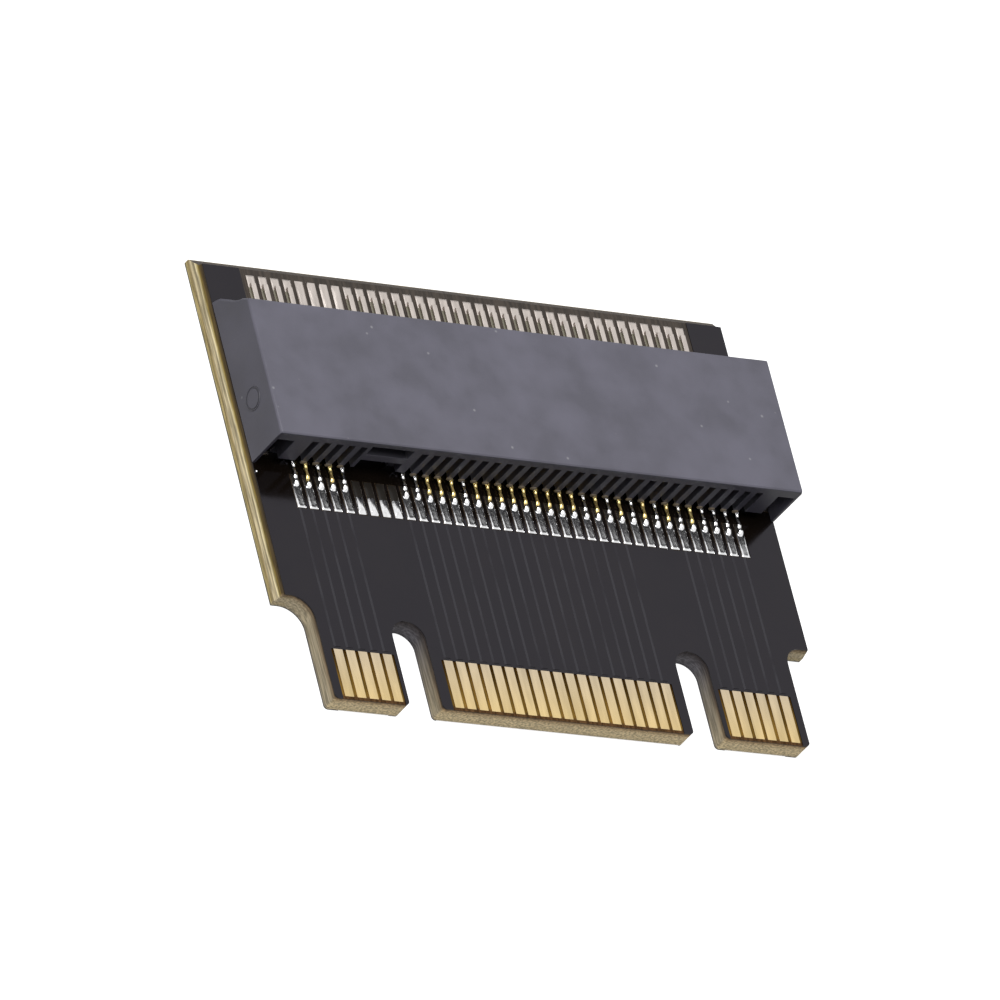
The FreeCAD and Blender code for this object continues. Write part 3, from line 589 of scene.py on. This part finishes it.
def form_contacts(name, route, pins, neck, beads, finish, replaced):
    """Form one contact along a route, round its edges, bead it and repeat it at each pin."""
    _, socket, _ = settings()
    form = bmesh.new()
    tail_top = FACE + socket.channel_height
    form_strip(form, route, socket.contact_width, socket.contact_thickness, tail_top)
    # A spin leaves the face that it starts from inside the strip.
    inner = [face for face in form.faces if all(len(edge.link_faces) > 2 for edge in face.edges)]
    bmesh.ops.delete(form, geom=inner, context="FACES_ONLY")
    if neck:
        pinch = 1 - socket.neck_width / socket.tail_width
        for vert in form.verts:
            if vert.co.z < tail_top and vert.co.y < REAR_WALL + 0.2 * MM:
                vert.co.x *= socket.tail_width / socket.contact_width
                vert.co.x *= 1 - pinch * bell(vert.co.y, neck, 0.11 * MM)
    bmesh.ops.recalc_face_normals(form, faces=form.faces)
    sharp = [edge for edge in form.edges if edge.calc_face_angle(0) > math.radians(60)]
    bmesh.ops.bevel(
        form, geom=sharp, offset=socket.contact_thickness * 0.14, segments=2, profile=0.5,
        affect="EDGES", material=-1, clamp_overlap=True,
    )
    for along, up, size in beads:
        blob(form, (0, along, up), size, 0.35)
    first = form.verts[:] + form.edges[:] + form.faces[:]
    bmesh.ops.translate(form, verts=form.verts, vec=(pin_x(pins[0]), 0, 0))
    for pin in pins[1:]:
        made = bmesh.ops.duplicate(form, geom=first)["geom"]
        copies = [item for item in made if isinstance(item, bmesh.types.BMVert)]
        bmesh.ops.translate(form, verts=copies, vec=(pin_x(pin) - pin_x(pins[0]), 0, 0))
    return new_piece(form, name, finish, replaced, math.radians(20))


def drop(form, low, high, rows, height, dark):
    """A closed film of solder over a rectangle whose top follows a rule.

    The rule takes the share across, from -1 to 1, the share along, from 0 to 1, and the
    distance in from the nearest edge, and gives a height. The faces take the first of
    three finishes at the rim, the second inside it and the third between two shares along.
    """
    middle, size = (Vector(low) + Vector(high)) / 2, Vector(high) - Vector(low)
    place = Matrix.Translation((middle.x, middle.y, low[2]))
    base = bmesh.ops.create_grid(
        form, x_segments=8, y_segments=rows, size=0.5,
        matrix=place @ Matrix.Diagonal((size.x, size.y, 1, 1)),
    )["verts"]
    faces = list(dict.fromkeys(face for vert in base for face in vert.link_faces))
    made = bmesh.ops.extrude_face_region(form, geom=faces, use_keep_orig=True)["geom"]

    def shares(spot):
        across = (spot.x - middle.x) / size.x * 2
        along = (spot.y - low[1]) / size.y
        side = (1 - abs(across)) * size.x / 2
        return across, along, min(side, along * size.y, (1 - along) * size.y)

    for item in made:
        if isinstance(item, bmesh.types.BMVert):
            item.co.z += height(*shares(item.co))
        elif isinstance(item, bmesh.types.BMFace):
            _, along, inset = shares(item.calc_center_median())
            item.material_index = 2 if dark[0] < along < dark[1] else int(inset > 0.07 * MM)


def film(across, along, inset, rim, rough, draw):
    """Height of thin solder: a rim that fades along the sides round an uneven middle."""
    if inset < 0.01 * MM:
        return 0.004 * MM
    rim *= bell(along, 0, 0.38 if across < 0 else 0.16)
    return 0.010 * MM + rim * bell(inset, 0.045 * MM, 0.055 * MM) + draw.uniform(0, rough)


def blob(form, middle, size, slope):
    """A rounded blob that leans down towards the card edge by a slope."""
    place = Matrix.Translation(middle) @ Matrix.Diagonal((*(half * 2 for half in size), 1))
    made = bmesh.ops.create_uvsphere(
        form, u_segments=16, v_segments=10, radius=0.5, matrix=place,
    )["verts"]
    for vert in made:
        vert.co.z += slope * (vert.co.y - middle[1])


def crown(across, fullness):
    """Rounded section of a drop, 1 in the middle and 0 at its sides."""
    return max(0, 1 - abs(across) ** fullness) ** 0.5


def bell(value, middle, width):
    """A smooth hump."""
    return math.exp(-(((value - middle) / width) ** 2))


class ADAPTER_OT_coat_board(bpy.types.Operator):
    """Give the laminate and its two lacquer coats their finishes"""

    bl_idname = "adapter.coat_board"
    bl_label = "Coat Board"

    def execute(self, context):
        card = context.scene.adapter_card
        give_finish(laminate_finish(), "board_laminate")
        lacquer, _ = lacquer_finish("lacquer", card.lacquer)
        give_finish(lacquer, "front_solder_mask", "back_solder_mask")
        return {"FINISHED"}


class ADAPTER_OT_plate_copper(bpy.types.Operator):
    """Give the fingers their gold, the pads their tin and the hold-downs a darker copy of the tin,
    painted shade of their pockets
    """

    bl_idname = "adapter.plate_copper"
    bl_label = "Plate Copper"

    def execute(self, context):
        card = context.scene.adapter_card
        gold = finger_finish("finger_gold", card.gold)
        for face in ("front", "back"):
            give_finish(gold, *(f"{face}_fingers_{tab}" for tab in ("left", "middle", "right")))
        tin = metal_finish("pad_tin", card.tin, 0.22, 0.3, 0.25 * MM, 0.002 * MM)
        give_finish(tin, "rear_pads", "front_pads", "hold_down_pads")
        # Painted shade: the hold-downs stand in dark pockets, so they take a darker copy of the
        # tin.
        pocket_shaded_nail, _ = new_finish("nail_metal_painted_shade", shade(card.tin, 0.25), 1, 0.35)
        give_finish(pocket_shaded_nail, "left_hold_down", "right_hold_down")
        return {"FINISHED"}


class ADAPTER_OT_lay_traces(bpy.types.Operator):
    """Lay the traces that show as low ridges under the lacquer, with their vias"""

    bl_idname = "adapter.lay_traces"
    bl_label = "Lay Traces"

    def execute(self, context):
        card = context.scene.adapter_card
        finish = trace_finish(card.lacquer, card.trace_lacquer_glint)
        half, lift, slope = card.trace_width / 2, card.trace_height, card.trace_width * 0.3
        dimpled = ((0.05 * MM, lift), (0.08 * MM, 0), (0.03 * MM, -lift / 2))
        front = bmesh.new()
        for pin in FRONT_FINGERS:
            ridge(
                front, (pin_x(pin) - half, FINGER_TOP + 0.1 * MM, FACE),
                (pin_x(pin) + half, REAR_PADS[0].y - 0.03 * MM, FACE + lift), slope,
            )
        new_piece(front, "front_traces", finish, sharp=math.radians(5))
        back = bmesh.new()
        for pin in BACK_FINGERS:
            end = 1.5 * MM if pin == 2 else FRONT_PADS[0].y - 0.4 * MM
            ridge(
                back, (pin_x(pin) - half, FINGER_TOP + 0.1 * MM, 0),
                (pin_x(pin) + half, end, lift), slope,
            )
            ring = Matrix.Translation((pin_x(pin), end, 0))
            stepped_disc(back, ring, card.via_width / 2, 16, dimpled)
        # The back's traces are made face up, then turned over.
        bmesh.ops.scale(back, vec=(1, 1, -1), verts=back.verts)
        bmesh.ops.reverse_faces(back, faces=back.faces)
        bmesh.ops.translate(back, vec=(0, 0, BACK), verts=back.verts)
        new_piece(back, "back_traces", finish, sharp=math.radians(5))
        return {"FINISHED"}


class ADAPTER_OT_form_contacts(bpy.types.Operator):
    """Form the rear contacts, gold or with solder run up their tails, and the tinned front ones"""

    bl_idname = "adapter.form_contacts"
    bl_label = "Form Contacts"

    def execute(self, context):
        socket = context.scene.adapter_socket
        half = socket.contact_thickness / 2
        gold = metal_finish("contact_gold", socket.contact, 0.3, 0.4, 0.2 * MM, 0.001 * MM)
        wicked = metal_finish("wicked_tail", socket.solder, 0.16, 0.6, 0.15 * MM, 0.001 * MM)
        beam = REAR_METAL[1].z - half
        toe, tip = REAR_METAL[0].y, REAR_METAL[1].y
        post, foot = REAR_WALL + 0.45 * MM, FACE + 0.03 * MM
        tail, step = FACE + 0.075 * MM, FACE + 0.13 * MM
        rear = [
            (toe, foot, 0), (REAR_WALL - 0.46 * MM, foot, BEND),
            (REAR_WALL - 0.37 * MM, tail, BEND), (REAR_WALL + 0.05 * MM, tail, BEND),
            (REAR_WALL + 0.14 * MM, step, BEND), (post, step, BEND), (post, beam, BEND),
            (tip - 1.4 * MM, beam, BEND), (tip - 0.4 * MM, beam - 0.25 * MM, BEND),
            (tip, beam - 0.05 * MM, 0),
        ]
        neck = REAR_WALL - 0.2 * MM
        beads = [
            (REAR_WALL + 0.02 * MM, FACE + 0.10 * MM, (0.064 * MM, 0.095 * MM, 0.06 * MM)),
            (REAR_WALL - 0.40 * MM, FACE + 0.055 * MM, (0.072 * MM, 0.11 * MM, 0.06 * MM)),
        ]
        plain = [pin for pin in REAR_CONTACTS if pin not in WICKED]
        form_contacts(
            "rear_contacts_gold", rear, plain, neck, beads, gold, ["rear_contacts_main"],
        )
        form_contacts(
            "rear_contacts_wicked", rear, sorted(WICKED, reverse=True), neck, beads, wicked,
            ["rear_contacts_key_side"],
        )
        foot, blade = FRONT_METAL[0].z + half, FACE + 0.24 * MM
        crest = FRONT_METAL[1].z - half
        toe, tip = FRONT_METAL[1].y, FRONT_METAL[0].y
        jaw = FRONT_PADS[1].y - 1.84 * MM
        front = [
            (toe, foot, 0), (jaw + 0.7 * MM, foot, BEND), (jaw + 0.3 * MM, blade, BEND),
            (tip + 1.4 * MM, blade, BEND), (tip + 0.4 * MM, crest, BEND),
            (tip, crest - 0.15 * MM, 0),
        ]
        tin = context.scene.adapter_card.tin
        tinned = metal_finish("contact_tin", tin, 0.3, 0.2, 0.2 * MM, 0.003 * MM)
        form_contacts(
            "front_contacts_formed", front, FRONT_CONTACTS, None, [], tinned,
            ["front_contacts_key_side", "front_contacts_main"],
        )
        return {"FINISHED"}


class ADAPTER_OT_flow_solder(bpy.types.Operator):
    """Flow the solder joints at the feet and the tin on the bare pads"""

    bl_idname = "adapter.flow_solder"
    bl_label = "Flow Solder"

    def execute(self, context):
        card, socket, stage = settings()
        bright = metal_finish("solder", socket.solder, 0.1, 0.8, 0.12 * MM, 0.001 * MM)
        draw = random.Random(stage.seed)
        half = REAR_PADS[1].x - pin_x(1) - 0.005 * MM
        rear = bmesh.new()
        for pin in REAR_CONTACTS:
            self.cover_pad(
                rear, pin, half, REAR_PADS, 24,
                lambda *spot: film(*spot, 0.016 * MM, 0.005 * MM, draw), (0.7, 1),
            )
            middle = (
                pin_x(pin) + draw.uniform(-0.008, 0.008) * MM,
                REAR_METAL[0].y - 0.02 * MM + draw.uniform(-0.03, 0.015) * MM, FACE + 0.045 * MM,
            )
            size = (
                draw.uniform(0.098, 0.112) * MM, draw.uniform(0.135, 0.165) * MM,
                draw.uniform(0.065, 0.075) * MM,
            )
            blob(rear, middle, size, 0.35)
        # One small ball of solder lies beside the row.
        stray = (SOCKET[0].x + 0.08 * MM, REAR_WALL - 0.35 * MM, FACE + 0.02 * MM)
        blob(rear, stray, [0.04 * MM] * 3, 0)
        # Painted reflection: inside its rim each film takes a darker copy of the solder, for the
        # dark socket wall that it mirrors.
        wall_reflection_tone = shade(socket.solder, 0.42)
        wall_reflecting_solder = metal_finish("solder_painted_wall_reflection", wall_reflection_tone, 0.22, 0.5, 0.09 * MM, 0.006 * MM)
        shaded, _ = new_finish(
            "shaded_solder", (0.014, 0.012, 0.01), 0, 0.3, Specular_IOR_Level=0.25,
        )
        new_piece(rear, "rear_solder", (bright, wall_reflecting_solder, shaded), ["rear_solder_joints"])
        dull = metal_finish("dull_tin", card.tin, 0.3, 0.2, 0.2 * MM, 0.002 * MM)
        toe = (FRONT_METAL[1].y - FRONT_PADS[0].y) / (FRONT_PADS[1].y - FRONT_PADS[0].y)
        front = bmesh.new()
        for pin in FRONT_CONTACTS:
            self.cover_pad(
                front, pin, half, FRONT_PADS, 16,
                lambda *spot: film(*spot, 0.006 * MM, 0.003 * MM, draw), (0, toe - 0.08),
            )
        # Painted shade: from each front contact's toe in towards the socket the pad's film is dark
        # olive.
        front_pad_shade, _ = new_finish("front_pad_painted_shade", (0.13, 0.12, 0.085), 0, 0.5)
        new_piece(front, "front_solder", (dull, dull, front_pad_shade), ["front_solder_joints"])
        for row, pins, pads, coat, gone in (
            ("rear", REAR_BARE, REAR_PADS, (bright, bright, shaded), ["bare_pad_solder"]),
            ("front", FRONT_BARE, FRONT_PADS, (dull, dull, dull), []),
        ):
            bare = bmesh.new()
            for pin in pins:
                full = draw.uniform(0.04, 0.055) * MM

                def height(across, along, inset):
                    return full * crown(2 * along - 1, 4) * crown(across, 3)

                self.cover_pad(bare, pin, half, pads, 12, height, (0.5, 1))
            new_piece(bare, f"{row}_bare_tin", coat, gone)
        return {"FINISHED"}

    def cover_pad(self, form, pin, half, pads, rows, height, dark):
        """Cover the pad of a pin with a drop."""
        low = (pin_x(pin) - half, pads[0].y, FACE)
        high = (pin_x(pin) + half, pads[1].y, FACE)
        drop(form, low, high, rows, height, dark)


class ADAPTER_OT_mould_socket(bpy.types.Operator):
    """Give the socket's moulding soft edges, its finish, its gate mark and its comb's feet"""

    bl_idname = "adapter.mould_socket"
    bl_label = "Mould Socket"

    def execute(self, context):
        socket = context.scene.adapter_socket
        finish = moulding_finish(socket.moulding)
        form = bmesh.new()
        form.from_mesh(NODES["socket_housing"].data)
        bmesh.ops.remove_doubles(form, verts=form.verts, dist=0.001 * MM)
        bmesh.ops.dissolve_limit(
            form, angle_limit=math.radians(1), verts=form.verts, edges=form.edges,
        )
        sharp = [edge for edge in form.edges if edge.calc_face_angle(0) > math.radians(30)]
        bmesh.ops.bevel(
            form, geom=sharp, offset=socket.edge_radius, segments=2, profile=0.5,
            affect="EDGES", material=-1, clamp_overlap=True,
        )
        piece = new_piece(form, "moulding", finish, ["socket_housing"])
        piece.modifiers.new("even_faces", "WEIGHTED_NORMAL")
        ring = bmesh.new()
        turn = Matrix.Rotation(-math.pi / 2, 4, "Y")
        place = Matrix.Translation((SOCKET[0].x, REAR_WALL + 2.0 * MM, FACE + 0.93 * MM))
        steps = (
            (0.012 * MM, 0.02 * MM), (0.012 * MM, 0), (0.03 * MM, -0.018 * MM),
            (0.014 * MM, 0), (0.03 * MM, 0.018 * MM),
        )
        stepped_disc(ring, place @ turn, 0.44 * MM, 48, steps)
        # Painted shade: the sloped faces of the ring's steps take a darker copy of the moulding,
        # for the shade in its grooves.
        for step in ring.faces:
            step.material_index = int(step.normal.x > -0.9)
        wear_and_groove_shade, _ = new_finish("gate_mark_groove_shade", shade(socket.moulding, 0.35), 0, 0.5)
        new_piece(ring, "gate_mark", (finish, wear_and_groove_shade), sharp=math.radians(30))
        # Painted reflection: the comb's feet are brown, lighter than the moulding, for the gold
        # tails beside them.
        gold_reflection_brown, _ = new_finish("gold_reflection_brown", (0.105, 0.08, 0.05), 0, 0.5)
        feet = bmesh.new()
        # The comb has a tooth between each two of its slits, where the even pins would stand.
        for tooth in (*range(74, 67, -2), *range(56, 1, -2)):
            middle = (pin_x(tooth), REAR_WALL + 0.01 * MM, FACE + 0.36 * MM)
            blob(feet, middle, (0.125 * MM, 0.05 * MM, 0.1 * MM), 0)
        new_piece(feet, "comb_feet", gold_reflection_brown)
        return {"FINISHED"}


class ADAPTER_OT_set_stage(bpy.types.Operator):
    """Lay the card on a pale floor in soft light, under the photograph's camera"""

    bl_idname = "adapter.set_stage"
    bl_label = "Set Stage"

    def execute(self, context):
        stage = context.scene.adapter_stage
        self.add_camera(context.scene, stage)
        self.add_world(context.scene, stage)
        self.add_floor(context.scene)
        lamp = bpy.data.lights.new("key_light", "AREA")
        lamp.energy = stage.key_power
        lamp.size = 0.36
        light = bpy.data.objects.new("key_light", lamp)
        light.location = (-0.13, -0.03, 0.52)
        light.rotation_euler = light.location.to_track_quat("Z", "Y").to_euler()
        context.scene.collection.objects.link(light)
        context.scene.view_settings.view_transform = "Standard"
        return {"FINISHED"}

    def add_camera(self, scene, stage):
        """Aim the camera at the middle of the component face."""
        camera = bpy.data.objects.new("camera", bpy.data.cameras.new("camera"))
        camera.data.lens = stage.lens
        camera.data.shift_x, camera.data.shift_y = stage.shift
        camera.data.clip_start, camera.data.clip_end = 0.01, 10
        aim = (
            Matrix.Rotation(-stage.heading, 4, "Z")
            @ Matrix.Rotation(math.pi / 2 - stage.elevation, 4, "X")
            @ Matrix.Rotation(stage.roll, 4, "Z")
        )
        target = Matrix.Translation((0, 0.1 * MM, FACE))
        camera.matrix_world = target @ aim @ Matrix.Translation((0, 0, stage.distance))
        scene.collection.objects.link(camera)
        scene.camera = camera

    def seen(self, finish, *kinds):
        """1 for rays from the camera and of some other kinds, 0 for the rest."""
        rays = add_node(finish, "ShaderNodeLightPath")
        total = rays.outputs["Is Camera Ray"]
        for kind in kinds:
            most = add_node(finish, "ShaderNodeMath", operation="MAXIMUM")
            join(finish, total, most.inputs[0])
            join(finish, rays.outputs[kind], most.inputs[1])
            total = most.outputs["Value"]
        return total

    def add_world(self, scene, stage):
        """Even light all round, seen as white."""
        world = bpy.data.worlds.new("studio")
        world.use_nodes = True
        background = world.node_tree.nodes["Background"]
        background.inputs["Color"].default_value = (1, 1, 1, 1)
        seen = self.seen(world, "Is Glossy Ray", "Is Transmission Ray")
        level = spread(world, seen, stage.ambient, 1, 0, 1)
        join(world, level, background.inputs["Strength"])
        scene.world = world

    def add_floor(self, scene):
        """A pale floor that keeps the card's soft shadow."""
        form = bmesh.new()
        place = Matrix.Translation((0, 0, CAD_BOX[0].z - 0.03 * MM))
        bmesh.ops.create_grid(form, x_segments=1, y_segments=1, size=2, matrix=place)
        mesh = bpy.data.meshes.new("floor")
        form.to_mesh(mesh)
        form.free()
        finish, shader = new_finish("floor", (0.5, 0.5, 0.5), 0, 0.9)
        shader.inputs["Specular IOR Level"].default_value = 0
        shader.inputs["Emission Color"].default_value = (1, 1, 1, 1)
        glow = spread(finish, self.seen(finish, "Is Transmission Ray"), 0, 0.75, 0, 1)
        join(finish, glow, shader.inputs["Emission Strength"])
        mesh.materials.append(finish)
        floor = bpy.data.objects.new("floor", mesh)
        scene.collection.objects.link(floor)


class ADAPTER_PT_looks(bpy.types.Panel):
    """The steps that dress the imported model, in order"""

    bl_label = "Adapter Looks"
    bl_idname = "ADAPTER_PT_looks"
    bl_space_type = "VIEW_3D"
    bl_region_type = "UI"
    bl_category = "Adapter"

    def draw(self, context):
        for group in settings():
            box = self.layout.box()
            for name in group.bl_rna.properties.keys():
                if name not in ("rna_type", "name"):
                    box.prop(group, name)
        for step in STEPS:
            self.layout.operator(step.bl_idname)


STEPS = (
    ADAPTER_OT_coat_board, ADAPTER_OT_plate_copper, ADAPTER_OT_lay_traces,
    ADAPTER_OT_form_contacts, ADAPTER_OT_flow_solder, ADAPTER_OT_mould_socket,
    ADAPTER_OT_set_stage,
)
CLASSES = (CardSettings, SocketSettings, StageSettings, *STEPS, ADAPTER_PT_looks)


def register():
    for cls in CLASSES:
        bpy.utils.register_class(cls)
    bpy.types.Scene.adapter_card = PointerProperty(type=CardSettings)
    bpy.types.Scene.adapter_socket = PointerProperty(type=SocketSettings)
    bpy.types.Scene.adapter_stage = PointerProperty(type=StageSettings)


def unregister():
    del bpy.types.Scene.adapter_stage
    del bpy.types.Scene.adapter_socket
    del bpy.types.Scene.adapter_card
    for cls in reversed(CLASSES):
        bpy.utils.unregister_class(cls)


def main():
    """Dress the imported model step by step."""
    register()
    bpy.ops.adapter.coat_board()
    bpy.ops.adapter.plate_copper()
    bpy.ops.adapter.lay_traces()
    bpy.ops.adapter.form_contacts()
    bpy.ops.adapter.flow_solder()
    bpy.ops.adapter.mould_socket()
    bpy.ops.adapter.set_stage()
    bpy.context.view_layer.update()


if __name__ == "__main__":
    main()
